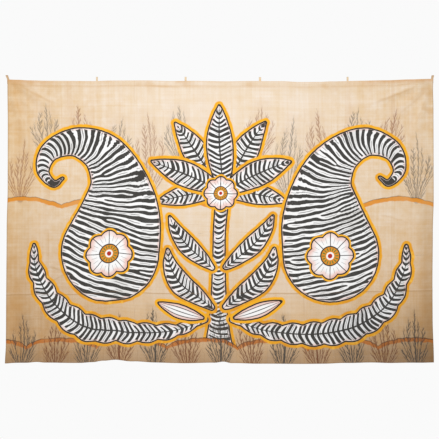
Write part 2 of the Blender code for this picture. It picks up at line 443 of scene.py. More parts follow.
def petalRows(turn, length, halfWidth):
    # A petal's middle line leans out from the root and droops with the square of the way along it.
    side = math.copysign(1.0, turn)
    s, c = math.sin(math.radians(abs(turn))), math.cos(math.radians(turn))
    rows = []
    for share, wide in design["petalRows"]:
        droop = design["petalDroop"] * s * share**2
        x = side * (share * length * s + droop * c)
        rows.append((x, design["petalRoot"] + share * length * c - droop * s, wide * halfWidth))
    return rows


def bothSides(kind, rows):
    # A form and its mirror image.
    return [(kind, rows), (kind, [(-x, z, r) for x, z, r in rows])]


def paintedLayer(forms, x, z):
    # Forms side by side as one layer: each point keeps the numbers of the form that it is deepest in. A
    # leaf's bands sweep back by the square root of its cross place squared; the others bow by the square.
    depth, along, rib = np.full(x.shape, design["outside"]), np.zeros(x.shape), np.zeros(x.shape)
    tip, soft = design["inkTip"]
    for number, (kind, rows) in enumerate(forms):
        d, s, t, half, length = brushForm(rows, x, z)
        if kind == "lobed":
            size, notch, flat = design["lobe"]
            d = d - notch * (1 - np.abs(np.cos(np.pi * s / size))) * np.minimum(1, half / flat)
        if kind in ("leaf", "lobed"):
            s = s - design["bandSweep"] * np.sqrt(t * t + 0.05)
        else:
            inked = np.clip((s - length + tip) / soft, 0, 1) * (kind == "drop")
            s = s - design["bandBow"] * t * t
            t = design["noRib"] * (1 - inked)
        wins = d > depth
        depth[wins], along[wins], rib[wins] = d[wins], s[wins] + design["bandStart"] * number, t[wins]
    return depth, along, rib


def forkField(x, z):
    # Turns of plus or minus one about scattered points, multiplied as complex numbers: the bands' phase
    # gains or loses one whole band on a way round such a point, and the bands fade out on it.
    rng = np.random.default_rng(design["forkSeed"])
    here = x + 1j * z
    turned = np.ones(x.shape, complex)
    for k in range(design["forks"]):
        away = here - (rng.uniform(*design["forksAcross"]) + 1j * rng.uniform(*design["forksDown"]))
        size = np.abs(away)
        spin = away / np.maximum(size, 1e-6) * np.tanh(size / design["forkSize"])
        turned *= spin if k % 2 else np.conj(spin)
    return turned.real, turned.imag


# Bare feathery bushes on the open ground, in brown and in slate
bushes = {
    "upper": (  # across, foot, height, lean, half width, tone; each again on the other side
        (0.290, -0.640, 0.500, 0.020, 0.125, 1.0), (0.510, -0.930, 0.680, 0.030, 0.135, 0.0),
        (0.760, -0.760, 0.540, -0.040, 0.135, 1.0), (1.020, -0.640, 0.460, 0.030, 0.130, 0.0),
        (1.275, -0.620, 0.430, 0.040, 0.125, 1.0), (1.480, -0.960, 0.560, -0.020, 0.115, 0.0),
    ),
    "otherSide": (-0.02, 0.01, 0.86, 1.04),  # there in the other tone, moved, raised, least and most height
    "lower": {
        "count": 13, "reach": 1.47, "foot": -2.225, "height": 0.51, "varies": 0.07, "halfWidth": 0.108,
        "lean": 0.05,
    },
    "parted": -1.70,  # the height between the upper and the lower ones
    "shows": (0.66, 0.96),  # how strong the upper and the lower ones are
    "lowerInk": 0.35,  # the share of ink in the lower ones' paint
    "sway": 0.010,  # how far a stem bends to and fro
    # shares of the height where it starts to open, is widest, starts to narrow and ends; how wide it
    # starts and how much it narrows: first its outline, then its branches
    "outline": (-0.06, 0.30, 0.30, 1.05, 0.06, 0.42),
    "fan": (-0.06, 0.62, 0.50, 1.05, 0.08, 0.45),
    "branches": 2.9,  # on each side of the middle stem
    "uneven": 0.22,  # how uneven their spacing is
    "shorter": 0.13,  # how much shorter than the last each next branch is
    "stemHalf": 0.0044,
    "barbHalf": (0.0035, 0.0015),  # where a barb is nil and where it is full, from its middle
    "barbs": ((0.044, 2.4, 0.95), (0.080, 4.4, 0.85)),  # spacing up the branch, steepness, how strong
    "skipped": 0.16,  # the share of barbs left out
    "seed": 8,
}


def bushField(x, z):
    # For each point, of the bush that it lies deepest in: the height above the foot, the step aside from
    # the stem, which leans with the square of the height, and the tone; then a number of its own, the
    # whole height and the half width.
    rng = np.random.default_rng(bushes["seed"])
    rows = []
    moved, raised, least, most = bushes["otherSide"]
    for across, foot, tall, lean, wide, tone in bushes["upper"]:
        rows.append((across, foot, tall, lean, wide, tone))
        rows.append((moved - across, foot + raised, tall * rng.uniform(least, most), -lean, wide, 1 - tone))
    low = bushes["lower"]
    for k, across in enumerate(np.linspace(-low["reach"], low["reach"], low["count"])):
        tall = low["height"] + low["varies"] * rng.uniform(-1, 1)
        lean = rng.uniform(-low["lean"], low["lean"])
        rows.append((across, low["foot"], tall, lean, low["halfWidth"], float(k % 2)))
    opens, widest, narrows, top, start, taper = bushes["outline"]
    best = np.full(x.shape, design["outside"])
    fields = [np.zeros(x.shape) for _ in range(6)]
    for across, foot, tall, lean, wide, tone in rows:
        own = rng.uniform(0, 10)
        height = z - foot
        share = np.clip(height / tall, 0, 1.2)
        aside = x - across - lean * share**2 - bushes["sway"] * np.sin(5 * share + 3 * own)
        spread = np.clip((share - opens) / (widest - opens), 0, 1)
        spread = spread * (1 - taper * np.clip((share - narrows) / (top - narrows), 0, 1))
        ends = np.minimum(tall - height, height + 0.03)
        inside = np.minimum(wide * (0.08 + spread) - np.abs(aside), ends / 2)
        wins = inside > best
        best[wins] = inside[wins]
        for field, value in zip(fields, (height, aside, tone, own, tall, wide)):
            field[wins] = value[wins] if isinstance(value, np.ndarray) else value
    return fields


# Paints, as a chart gives them
tints = {
    "topBand": paint(226, 207, 183), "cream": paint(230, 212, 190), "straw": paint(226, 207, 184),
    "tan": paint(220, 197, 171), "lowTan": paint(215, 186, 151), "foot": paint(207, 175, 138),
    "base": paint(178, 147, 114), "sideWashAndShade": paint(252, 244, 231), "leftWashAndShade": paint(250, 241, 224),
    "lowWashAndShade": paint(243, 241, 239), "rightWashAndShade": paint(227, 216, 198), "lowRightShadeTint": paint(227, 228, 231),
    "umber": paint(136, 104, 71), "stain": paint(206, 162, 108), "hemStain": paint(206, 148, 92),
    "gold": paint(243, 176, 34), "deepGold": paint(220, 148, 34), "paleGold": paint(250, 198, 84),
    "orange": paint(221, 142, 42), "rust": paint(193, 112, 40),
    "white": paint(246, 246, 246), "ash": paint(216, 215, 212), "rose": paint(230, 170, 152),
    "ink": paint(40, 37, 32), "thinInk": paint(88, 86, 84),
    "bark": paint(136, 78, 46), "slate": paint(74, 72, 70), "ochre": paint(196, 148, 92),
    "leaf": paint(78, 122, 62), "madder": paint(178, 48, 36), "backCotton": paint(216, 196, 166),
}

# Creases left by folding and handling, drawn finer than the cloth's own grid
creases = {
    "pressed": (  # across, or drop where it runs level; half width, ridge, how much of it shows
        ("down", -1.285, 0.0060, 1.0, 0.55), ("down", -0.645, 0.0060, -0.8, 0.45),
        ("down", -0.053, 0.0055, 0.8, 0.40), ("down", 0.632, 0.0060, 1.0, 0.60),
        ("down", 1.289, 0.0065, -1.1, 0.75), ("level", 0.545, 0.0055, 0.7, 0.30),
        ("level", 1.075, 0.0055, -0.7, 0.30), ("level", 1.592, 0.0065, 2.2, 1.60),
    ),
    "drawn": (  # from across, from height, to across, to height, bow, half width, ridge
        (1.490, -0.078, 1.080, -0.222, -0.006, 0.015, 2.0),
        (1.560, -0.110, 1.300, -0.300, -0.012, 0.012, 0.8),
        (1.575, -0.130, 1.430, -0.470, 0.010, 0.012, 0.6),
        (1.520, -0.050, 1.220, -0.095, 0.006, 0.010, 0.9),
        (-1.530, -0.058, -1.170, -0.226, -0.010, 0.015, 1.6),
        (-1.555, -0.100, -1.440, -0.440, -0.012, 0.012, 0.7),
        (-1.570, -0.060, -1.360, -0.110, 0.008, 0.010, 0.8),
        (-1.310, -1.420, -1.060, -1.520, 0.016, 0.011, 1.2),
        (-1.290, -1.545, -1.130, -1.450, -0.010, 0.010, 1.0),
        (1.180, -1.040, 1.440, -1.120, 0.014, 0.011, 1.0),
    ),
    "wander": 0.014,  # how far they wander
    "waver": 0.012,  # how far the drawn ones waver as well
}


def creaseLines(dye, u, v):
    # The pressed folds and drawn creases: a height for the bump, and shares of painted shade with dirt on
    # one side of each and of painted highlight on the other. A drawn one is a straight run bowed by
    # 4 bow s (1 - s), s the share of the way; each dies out at its ends.
    height, creaseShadeAndDirt, creaseHighlight = 0.0, 0.0, 0.0
    plane = dye.at(u, v)
    fade = dye.noise(plane, 2.6)
    wander = dye.noise(plane, 4.0) * creases["wander"]
    waver = dye.noise(plane, 16.0) * creases["waver"]
    level = v - cloth["mapTop"] - u * relief["creaseTilt"]
    for kind, place, half, ridge, shows in creases["pressed"]:
        aside = (u - place if kind == "down" else level + place) + wander * 0.6
        shown = dye.between(0.12 - shows * 0.4, 0.30 - shows * 0.4, fade)
        height = height + dye.between(half * 1.6, 0.0, abs(aside)) * shown * ridge
        creaseShadeAndDirt = creaseShadeAndDirt + dye.between(half, half * 0.2, abs(aside)) * shown * (abs(ridge) * 0.32)
        creaseHighlight = creaseHighlight + dye.between(half * 1.5, 0.0, abs(aside - half * 1.5)) * shown * (abs(ridge) * 0.09)
    for fromX, fromZ, toX, toZ, bow, half, ridge in creases["drawn"]:
        length = math.hypot(toX - fromX, toZ - fromZ)
        runX, runZ = (toX - fromX) / length, (toZ - fromZ) / length
        share = ((u - fromX) * runX + (v - fromZ) * runZ) * (1 / length)
        aside = (v - fromZ) * abs(runX) - (u - fromX) * math.copysign(runZ, runX * runZ)
        aside = aside - share * (1 - share) * (4 * bow) + wander * 0.4 + waver
        shown = dye.between(0.0, 0.22, share) * dye.between(1.0, 0.55, share)
        height = height + dye.between(half * 1.8, 0.0, abs(aside - half)) * shown * ridge
        creaseShadeAndDirt = creaseShadeAndDirt + dye.between(half * 1.1, 0.0, abs(aside)) * shown * (ridge * 0.30)
        creaseHighlight = creaseHighlight + dye.between(half * 1.6, 0.0, abs(aside - half * 1.8)) * shown * (ridge * 0.15)
    return height, creaseShadeAndDirt, creaseHighlight


# The ground's washes, part paint and part painted shade of the light falling off: tan below cream, darker
# and browner towards the sides, streaked both ways
groundPaint = {
    "stops": (  # share of the drop, tint
        (0.00, "topBand"), (0.07, "cream"), (0.45, "straw"), (0.70, "tan"), (0.82, "lowTan"), (0.93, "foot"),
        (1.00, "base"),
    ),
    "streaks": (11.0, 1.0),  # how many in a metre across and down, of the streaks that run down
    "level": (1.3, 15.0),  # of the level ones
    "patches": (5.0, 8.0),
    "slubs": ((58.0, 1.7), (1.5, 70.0)),
    "stain": 0.44,  # how strongly the top edge is stained
    "cornerStain": 0.32,
    "blueGoes": (0.5, 1.2, 2.5),  # how much of a shade the red, green and blue take
}


def groundColour(dye, u, v, blots):
    # The tints by the share of the drop, then washes that multiply, part paint and part painted shade of the
    # light falling off: each is a tint times how far a place lies towards a side or down. Shade of the paint
    # itself: streaks, blots, slubs and grain added up.
    share = (cloth["mapTop"] - v) / cloth["hangs"] + blots["slow"] * 0.07 + blots["mottle"] * 0.03
    stops = [(place, tints[name]) for place, name in groundPaint["stops"]]
    colour = dye.node("ShaderNodeValToRGB", {"stops": stops}, {"Fac": share})

    def spread(rates, detail=3.0):
        # Noise with about this many humps in a metre across and down.
        return dye.noise(dye.at(u * rates[0], v * rates[1]), 1.0, detail)

    streaks, level = spread(groundPaint["streaks"]), spread(groundPaint["level"])
    side = dye.between(0.45, 1.50, abs(u - 0.05) + blots["slow"] * 0.18 + streaks * 0.20)
    left = dye.between(-1.37, -1.53, u + streaks * 0.16 + blots["slow"] * 0.10)
    right = dye.between(1.38, 1.60, u + streaks * 0.10)
    # Painted shade and paint together: darker and browner towards the sides, the lower left and the lower
    # right.
    washesAndShade = (
        ("sideWashAndShade", side * dye.between(1.15, 0.85, share)),
        ("lowWashAndShade", side * dye.between(0.2, -0.2, u) * dye.between(0.30, 0.85, share)),
        ("leftWashAndShade", left * dye.between(1.1, 0.8, share)),
        ("rightWashAndShade", right * dye.between(0.15, 0.80, share)),
    )
    for name, mask in washesAndShade:
        colour = dye.mix(colour, tints[name], mask, "MULTIPLY")
    patches = spread(groundPaint["patches"], 2.0) + dye.between(1.0, 1.6, abs(u)) * 0.22
    corners = dye.between(1.30, 1.52, abs(u)) * dye.between(0.20, 0.10, share) * groundPaint["cornerStain"]
    reach = dye.math("MAXIMUM", dye.between(0.075, 0.0, share) * groundPaint["stain"], corners)
    colour = dye.mix(colour, tints["stain"], dye.between(0.08, 0.30, patches) * reach)
    downRun = dye.between(0.02, 0.26, streaks) * dye.between(0.9, 0.2, share)
    run = dye.math("MAXIMUM", downRun, dye.between(0.06, 0.28, level) * 0.55)
    colour = dye.mix(colour, tints["stain"], run * (side * 0.22 + 0.10))
    slubs = spread(groundPaint["slubs"][0]) + spread(groundPaint["slubs"][1])
    patchy = blots["mottle"] + blots["slow"] + side * 0.4 + 0.7
    blotted = blots["mottle"] * (side * 0.12 + 0.10) + blots["shake"] * (side * 0.10 + 0.05)
    shade = streaks * 0.14 + level * 0.07 + blotted + slubs * patchy * 0.15 + blots["grain"] * 0.10
    shade = dye.at(*(shade * goes + 1.0 for goes in groundPaint["blueGoes"]))
    return dye.mix(colour, shade, 1.0, "MULTIPLY")


def grownWidth(dye, grown, shape):
    # How wide a bush is at a share of its height: it opens, eased, then narrows, eased.
    opens, widest, narrows, top, start, taper = shape
    opened = dye.between(opens, widest, grown) * (1 - start) + start
    return opened * (1 - dye.between(narrows, top, grown) * taper)


def bushLines(dye, blots):
    # Branches fan out from the foot: the step aside over their spacing is near a whole number. Barbs leave
    # each branch: the height less a steepness times the step from it, over the barbs' spacing, is near a
    # whole number. No line is drawn where two bushes meet, at a tone between the two.
    height, aside, tone = dye.numbers("bush")
    own, tall, wide = dye.numbers("bushKind")
    grown = height / tall
    aside = aside + blots["twig"] * 0.004
    gap = wide * grownWidth(dye, grown, bushes["fan"]) / bushes["branches"]
    turn = aside / gap
    turn = turn + dye.math("SINE", turn * 2.1 + own * 5.0) * bushes["uneven"]
    nearest = dye.math("ROUND", turn)
    lot = dye.lot(nearest, own)
    step = (turn - nearest) * gap
    top = tall * (1.0 - abs(nearest) * bushes["shorter"] - lot * 0.12)
    middle = dye.between(0.6, 0.4, abs(nearest))
    half = (1.0 - grown * 0.75) * (middle * 0.75 + 0.48) * bushes["stemHalf"]
    lines = dye.between(1.5, 0.6, abs(step) / half) * dye.between(top, top - 0.07, height)
    right = dye.math("GREATER_THAN", step, 0.0)
    far = abs(step) / (gap * 0.5)
    for spacing, steep, shows in bushes["barbs"]:
        climb = (height - abs(step) * steep) / spacing + lot * 7.0 + right * 0.5
        number = dye.math("ROUND", climb)
        chance = dye.lot(number + right * 31.0 + steep, nearest + own)
        barb = dye.between(*bushes["barbHalf"], abs(climb - number) * (spacing / math.hypot(1, steep)))
        barb = barb * dye.between(chance * 0.60 + 0.55, chance * 0.45 + 0.35, far)
        barb = barb * dye.between(top * 1.04 - chance * 0.06, top * 0.97 - chance * 0.08, height)
        rise = height - abs(aside) * 0.3
        barb = barb * dye.between(chance * 0.03 + 0.005, chance * 0.05 + 0.02, rise)
        shown = dye.math("GREATER_THAN", chance, bushes["skipped"]) * dye.between(1.25, 0.75, grown)
        lines = dye.math("MAXIMUM", lines, barb * shown * shows)
    reach = wide * grownWidth(dye, grown, bushes["outline"])
    inside = dye.math("MINIMUM", reach * 1.15 - abs(aside), tall - height)
    lines = lines * dye.between(0.0, 0.012, inside) * dye.between(-0.01, 0.02, height)
    lines = lines * dye.between(0.10, 0.02, tone * (1 - tone))
    wash = dye.between(0.0, 0.06, inside) * dye.between(0.0, 0.05, height) * (blots["mottle"] * 0.3 + 0.10)
    colour = dye.mix(tints["slate"], tints["bark"], tone)
    return colour, lines * (blots["grain"] * 0.5 + 0.95), wash


# How the brush is used. Each pair is a depth inside a form's drawn edge, in metres: where the paint is
# nil and where it is full
strokes = {
    "fill": (-0.006, -0.004),
    "rim": (0.0065, 0.0045),  # the ink line along the edge
    "goldRing": (-0.0295, -0.0215),
    "budRing": (-0.028, -0.021),
    "rosetteRing": (-0.021, -0.015),
    "roseFlush": (0.030, 0.006),
    "budFlush": (0.035, 0.006),
    "rosetteFlush": (0.055, 0.006),
    "top": (-0.018, -0.015),  # the upper edge of the broad lines across the cloth
    "petalPitch": 0.036,  # from one band to the next
    "leafPitch": 0.040,
}

# The broad lines: the depth below the line's top where its lower edge is nil and full; then the same for
# half of the ink line over it, and where that lies and how strong it is
scallops = {
    "tint": "rust", "perMetre": 1.9, "shift": 0.25, "round": 1.94, "rise": 0.085, "foot": -2.060,
    "edge": (0.0170, 0.0080), "inkHalf": (0.0050, 0.0025), "inkAt": 0.016, "ink": (0.62, 0.8),
}
garland = {
    "tint": "orange", "swings": 5.6, "shift": 0.4, "fall": 0.055, "foot": -0.975,
    "edge": (0.0190, 0.0100), "inkHalf": (0.0045, 0.0022), "inkAt": 0.017, "ink": (0.45, 0.6),
}


def paintLine(dye, under, below, line, strength, blots):
    # A broad line with a crisp top and a soft foot, and a thin ink line along its top.
    stroke = dye.between(*strokes["top"], below) * dye.between(*line["edge"], below)
    under = dye.mix(under, tints[line["tint"]], stroke * strength)
    shows, varies = line["ink"]
    ink = dye.between(*line["inkHalf"], abs(below + blots["grain"] * 0.003 + line["inkAt"]))
    return dye.mix(under, tints["ink"], ink * (blots["mottle"] * varies + shows))


def paintScallops(dye, under, ground, u, v, blots):
    # Round-topped scallops along the foot, the ground painted afresh below them: each top is the square
    # root of 1 less its square.
    turn = u * scallops["perMetre"] + scallops["shift"]
    place = (turn - dye.math("ROUND", turn)) * scallops["round"]
    top = dye.math("SQRT", 1 - place * place) * scallops["rise"] + scallops["foot"]
    below = top - v + blots["edge"] * 0.018
    inside = dye.between(-0.004, 0.004, below)
    under = dye.mix(under, ground, inside)
    under = dye.mix(under, tints["umber"], inside * 0.08)
    return paintLine(dye, under, below, scallops, blots["grain"] * 0.5 + blots["mottle"] * 0.6 + 0.88, blots)


def paintGarland(dye, under, u, v, blots):
    # A garland that hangs behind everything, at the foot of the pale field: the size of a sine.
    swing = abs(dye.math("SINE", u * garland["swings"] + garland["shift"])) * garland["fall"]
    below = swing + garland["foot"] - v + blots["edge"] * 0.014
    return paintLine(dye, under, below, garland, blots["mottle"] * 0.4 + 0.92, blots)


def paintBands(dye, under, name, pitch, blots):
    # A layer of banded forms. Band height: sin(phase) A + cos(phase) B, where the phase is the way along
    # over the pitch and (A, B) the fork field; ink lies where it tops a threshold that wanders, and that
    # changes from band to band.
    depth, along, rib = dye.numbers(name)
    forkA, forkB, _ = dye.numbers("forks")
    depth = depth + blots["edge"] * 0.004
    phase = (along + blots["drift"] * 0.034 + blots["shake"] * 0.003) * (2 * math.pi / pitch)
    wave = dye.math("SINE", phase) * forkA + dye.math("COSINE", phase) * forkB
    each = dye.noise(dye.at(along * (0.8 / pitch), 0.0), 1.0, 0.0)
    level = each * 1.5 + blots["thick"] * 1.1 - 0.10
    inset = dye.between(-0.1, 0.3, each) * 0.014
    inside = dye.between(0.003, 0.009, depth + blots["shake"] * 0.006 - inset)
    ribLine = dye.between(0.075, 0.045, abs(rib)) * dye.between(0.004, 0.010, depth)
    ink = dye.math("MAXIMUM", dye.between(-0.14, 0.14, wave - level) * inside, ribLine)
    hair = dye.between(-0.86, -0.95, wave) * dye.between(-0.02, 0.08, blots["thick"]) * inside
    # Deeper gold in patches, and towards the foot as paint and painted shade together.
    deep = dye.between(-0.05, 0.22, blots["mottle"]) * 0.5 + blots["low"] * 0.5
    gold = dye.mix(tints["gold"], tints["deepGold"], deep)
    gold = dye.mix(gold, tints["paleGold"], dye.between(0.08, 0.30, blots["shake"]) * 0.6)
    under = dye.mix(under, gold, dye.between(*strokes["goldRing"], depth + blots["shake"] * 0.010))
    cotton = dye.mix(tints["white"], tints["ash"], dye.between(0.05, 0.30, blots["slow"]) * 0.7)
    flush = dye.between(*strokes["roseFlush"], depth) * (blots["mottle"] * 0.8 + 0.38)
    cotton = dye.mix(cotton, tints["rose"], flush)
    fill = dye.between(*strokes["fill"], depth)
    under = dye.mix(under, cotton, fill)
    under = dye.mix(under, tints["thinInk"], hair * 0.7)
    worn = dye.between(0.0, 0.35, blots["grain"] + blots["mottle"] * 0.5) * 0.6
    dark = dye.mix(tints["ink"], tints["thinInk"], worn)
    rim = dye.between(*strokes["rim"], depth) * fill
    return dye.mix(under, dark, dye.math("MAXIMUM", ink * 0.97, rim))


def paintBuds(dye, under, blots):
    # White buds with a rose flush: ribs where the cross place is nil or 0.55.
    depth, _, aside = dye.numbers("budForm")
    depth = depth + blots["edge"] * 0.004
    fill = dye.between(*strokes["fill"], depth)
    under = dye.mix(under, tints["gold"], dye.between(*strokes["budRing"], depth))
    cotton = dye.mix(tints["white"], tints["rose"], dye.between(*strokes["budFlush"], depth) * 0.7)
    under = dye.mix(under, cotton, fill)
    middle, outer = (dye.between(0.08, 0.05, away) for away in (abs(aside), abs(abs(aside) - 0.55)))
    ribs = dye.math("MAXIMUM", middle, outer) * dye.between(0.0, 0.006, depth) * 0.9
    rim = dye.between(*strokes["rim"], depth) * fill
    return dye.mix(under, tints["ink"], dye.math("MAXIMUM", ribs, rim))


rosettes = {
    "middle": (0.875, 0.125),  # down from the hanging line, radius
    "outer": (0.83, 0.465, 0.050),  # across, further down, further out
    "petals": 4.0,  # half their number
    "notch": 0.14,  # how deep the rim is cut between two, as a share of the radius
    "rings": (  # share of the radius where each is nil and where it is full, tint
        (0.44, 0.42, "ink"), (0.39, 0.37, "orange"),
    ),
    "heart": ((0.18, 0.16, "white"), (0.11, 0.09, "madder")),
}


def paintRosettes(dye, under, u, v, blots):
    # Eight-petalled rosettes: one where the petals meet, one in each leaf drop. Rim radius 1 less the
    # notch, plus the notch times the size of cos(4 angle), all over the rosette's own radius.
    across, down, grows = rosettes["outer"]
    height, radius = rosettes["middle"]
    petals, notch = rosettes["petals"], rosettes["notch"]
    outer = dye.math("GREATER_THAN", abs(u), across / 2)
    size = outer * grows + radius
    x = (abs(u) - outer * across + blots["edge"] * 0.006) / size
    z = (v + height + outer * down + blots["drift"] * 0.006) / size
    far = dye.math("SQRT", x * x + z * z)
    angle = dye.math("ARCTAN2", z, x)
    depth = (abs(dye.math("COSINE", angle * petals)) * notch + (1 - notch) - far) * size
    under = dye.mix(under, tints["gold"], dye.between(*strokes["rosetteRing"], depth))
    fill = dye.between(*strokes["fill"], depth)
    flush = dye.between(*strokes["rosetteFlush"], depth) * (blots["mottle"] + 0.6)
    under = dye.mix(under, dye.mix(tints["white"], tints["rose"], flush), fill)
    seam = abs(dye.math("SINE", angle * petals)) * far * size / petals
    lines = dye.between(0.0036, 0.0020, seam) * dye.between(0.40, 0.44, far)
    vein = abs(dye.math("SINE", angle * (3 * petals))) * far * size * 0.083
    veins = dye.between(0.0022, 0.0010, vein) * dye.between(0.52, 0.56, far) * dye.between(0.82, 0.74, far)
    lines = dye.math("MAXIMUM", lines, veins * 0.55)
    lines = dye.math("MAXIMUM", lines, dye.between(*strokes["rim"], depth))
    under = dye.mix(under, tints["ink"], lines * fill)
    for nil, full, tint in rosettes["rings"]:
        under = dye.mix(under, tints[tint], dye.between(nil, full, far))
    dots = dye.between(0.30, 0.55, dye.math("COSINE", angle * (4 * petals)))
    under = dye.mix(under, tints["leaf"], dots * dye.between(0.09, 0.05, abs(far - 0.28)))
    for nil, full, tint in rosettes["heart"]:
        under = dye.mix(under, tints[tint], dye.between(nil, full, far))
    return under


def blotsOver(dye, plane, u, v):
    # The noises that all the paints share, each about nil; low alone goes from 0 to 1 down the cloth.
    slow, _, _ = dye.threeNoises(plane, 3.2)
    edge, shake, twig = dye.threeNoises(plane, 22.0)
    return {
        "slow": slow - 0.5, "edge": edge - 0.5, "shake": shake - 0.5, "twig": twig - 0.5,
        "drift": dye.noise(plane, 6.0), "mottle": dye.noise(plane, 9.0, 2.0),
        "thick": dye.noise(dye.at(u + 7.0, v + 3.0), 10.0, 0.0), "grain": dye.noise(plane, 160.0, 2.0),
        "low": dye.between(-0.30, -2.00, v),
    }


def paintDesign(dye, colour, u, v, blots):
    # Everything on the washed ground, from back to front.
    ground = colour
    bushColour, bushInk, bushWash = bushLines(dye, blots)
    upper = dye.math("GREATER_THAN", v, bushes["parted"])
    upperShows, lowerShows = bushes["shows"]
    colour = dye.mix(colour, tints["ochre"], bushWash * upper)
    colour = dye.mix(colour, bushColour, bushInk * upper * upperShows)
    colour = paintGarland(dye, colour, u, v, blots)
    colour = paintBands(dye, colour, "backPetals", strokes["petalPitch"], blots)
    colour = paintBands(dye, colour, "frontPetals", strokes["petalPitch"], blots)
    colour = paintScallops(dye, colour, ground, u, v, blots)
    colour = dye.mix(colour, tints["umber"], bushWash * (1 - upper))
    darker = dye.mix(bushColour, tints["ink"], bushes["lowerInk"])
    colour = dye.mix(colour, darker, bushInk * (1 - upper) * lowerShows)
    colour = paintBands(dye, colour, "leaves", strokes["leafPitch"], blots)
    colour = paintBuds(dye, colour, blots)
    return paintRosettes(dye, colour, u, v, blots)


# Wear and painted shade: how strongly each shows
wearAndShade = {"edges": 0.42, "corners": 0.46, "topEdge": 0.16, "hem": 0.05, "creases": 0.3, "paintedShadeToFoot": 0.05}


def wearAndPaintedShade(dye, colour, u, v, creaseShadeAndDirt, blots):
    # Umber along the side and bottom edges, browned corners and hem, painted shade in the creases, and
    # painted shade darkening towards the foot and the right: each is a tint times how near a place lies to
    # it.
    side, foot, deep = cloth["flatSize"][0] / 2, cloth["mapTop"] - cloth["hangs"], cloth["hemDepth"]
    fromTop = cloth["mapTop"] - v
    edge = dye.math("MAXIMUM", dye.between(0.010, 0.001, side - abs(u)), dye.between(0.012, 0.001, v - foot))
    colour = dye.mix(colour, tints["umber"], edge * wearAndShade["edges"])
    corner = dye.between(0.95, 1.55, abs(u) + u * 0.10 + blots["slow"] * 0.3)
    corner = corner * dye.between(0.040, 0.004, fromTop + blots["mottle"] * 0.03) * wearAndShade["corners"]
    handled = dye.math("MAXIMUM", corner, dye.between(0.008, 0.001, fromTop) * wearAndShade["topEdge"])
    colour = dye.mix(colour, tints["hemStain"], handled)
    colour = dye.mix(colour, tints["stain"], dye.between(deep + 0.001, deep - 0.001, fromTop) * wearAndShade["hem"])
    sewn = dye.between(0.016, 0.002, abs(fromTop - deep)) * (blots["slow"] * 0.7 + 0.20)
    colour = dye.mix(colour, tints["stain"], sewn)
    # Painted shade in the creases, in umber, stronger low on the cloth.
    shadowed = creaseShadeAndDirt * (dye.between(-1.30, -1.50, v) * 0.22 + 0.10)
    colour = dye.mix(colour, tints["umber"], dye.math("MINIMUM", shadowed, wearAndShade["creases"]))
    # Painted shade: every colour a little darker towards the foot.
    paintedShadeToFoot = 1.0 - dye.between(-1.1825, -2.2575, v) * wearAndShade["paintedShadeToFoot"]
    colour = dye.mix(colour, dye.at(paintedShadeToFoot, paintedShadeToFoot, paintedShadeToFoot), 1.0, "MULTIPLY")
    # Painted shade: darker again low on the right, over every paint and the ground.
    paintedShadeLowRight = dye.between(0.45, 1.45, u + blots["slow"] * 0.14) * dye.between(-1.42, -2.10, v)
    return dye.mix(colour, tints["lowRightShadeTint"], paintedShadeLowRight, "MULTIPLY")


# The weave: threads in a metre and humps along one, how high it stands, how much paint shows on the back
weave = {"threads": 900.0, "humps": 60.0, "strength": 0.6, "high": 0.0008, "bleeds": 0.30}


def paintedCotton():
    # The whole cloth: the painted face, the back where the paint bleeds through, and the weave, seam and
    # creases added up as a height.
    dye = Dye("painted cotton")
    plane = dye.node("ShaderNodeUVMap", {"uv_map": "cutCloth"})
    u, v, _ = dye.split(plane)
    _, _, back = dye.numbers("forks")
    blots = blotsOver(dye, plane, u, v)
    creased, creaseShadeAndDirt, creaseHighlight = creaseLines(dye, u, v)
    colour = groundColour(dye, u, v, blots)
    # Painted shade with some dirt along the creases, and a painted highlight beside each in white.
    colour = dye.mix(colour, tints["stain"], dye.math("MINIMUM", creaseShadeAndDirt * 0.50, 0.6))
    colour = dye.mix(colour, tints["white"], dye.math("MINIMUM", creaseHighlight * 0.30, 0.3))
    colour = paintDesign(dye, colour, u, v, blots)
    colour = wearAndPaintedShade(dye, colour, u, v, creaseShadeAndDirt, blots)
    colour = dye.mix(colour, dye.mix(tints["backCotton"], colour, weave["bleeds"]), back)
    across = dye.noise(dye.at(u * weave["humps"], v * weave["threads"]), 1.0)
    downward = dye.noise(dye.at(u * weave["threads"], v * weave["humps"]), 1.0)
    seam = dye.between(0.005, 0.0, abs(cloth["mapTop"] - v - cloth["hemDepth"]))
    height = across + downward + blots["grain"] * 0.8 - seam * 0.7 + creased
    return dye.finish({
        "Base Color": colour, "Roughness": 0.90 - blots["grain"] * 0.10,
        "Normal": dye.bump(height, weave["strength"], weave["high"]),
        "Specular IOR Level": 0.25, "Sheen Weight": 0.08, "Sheen Roughness": 0.6,
    })


def gridFaces(rows, columns):
    # Four-cornered faces of a grid of rows by columns cells, facing the side that sees x to the right.
    first = (np.arange(rows)[:, None] * (columns + 1) + np.arange(columns)).ravel()
    return np.stack([first, first + columns + 1, first + columns + 2, first + 1], axis=-1)


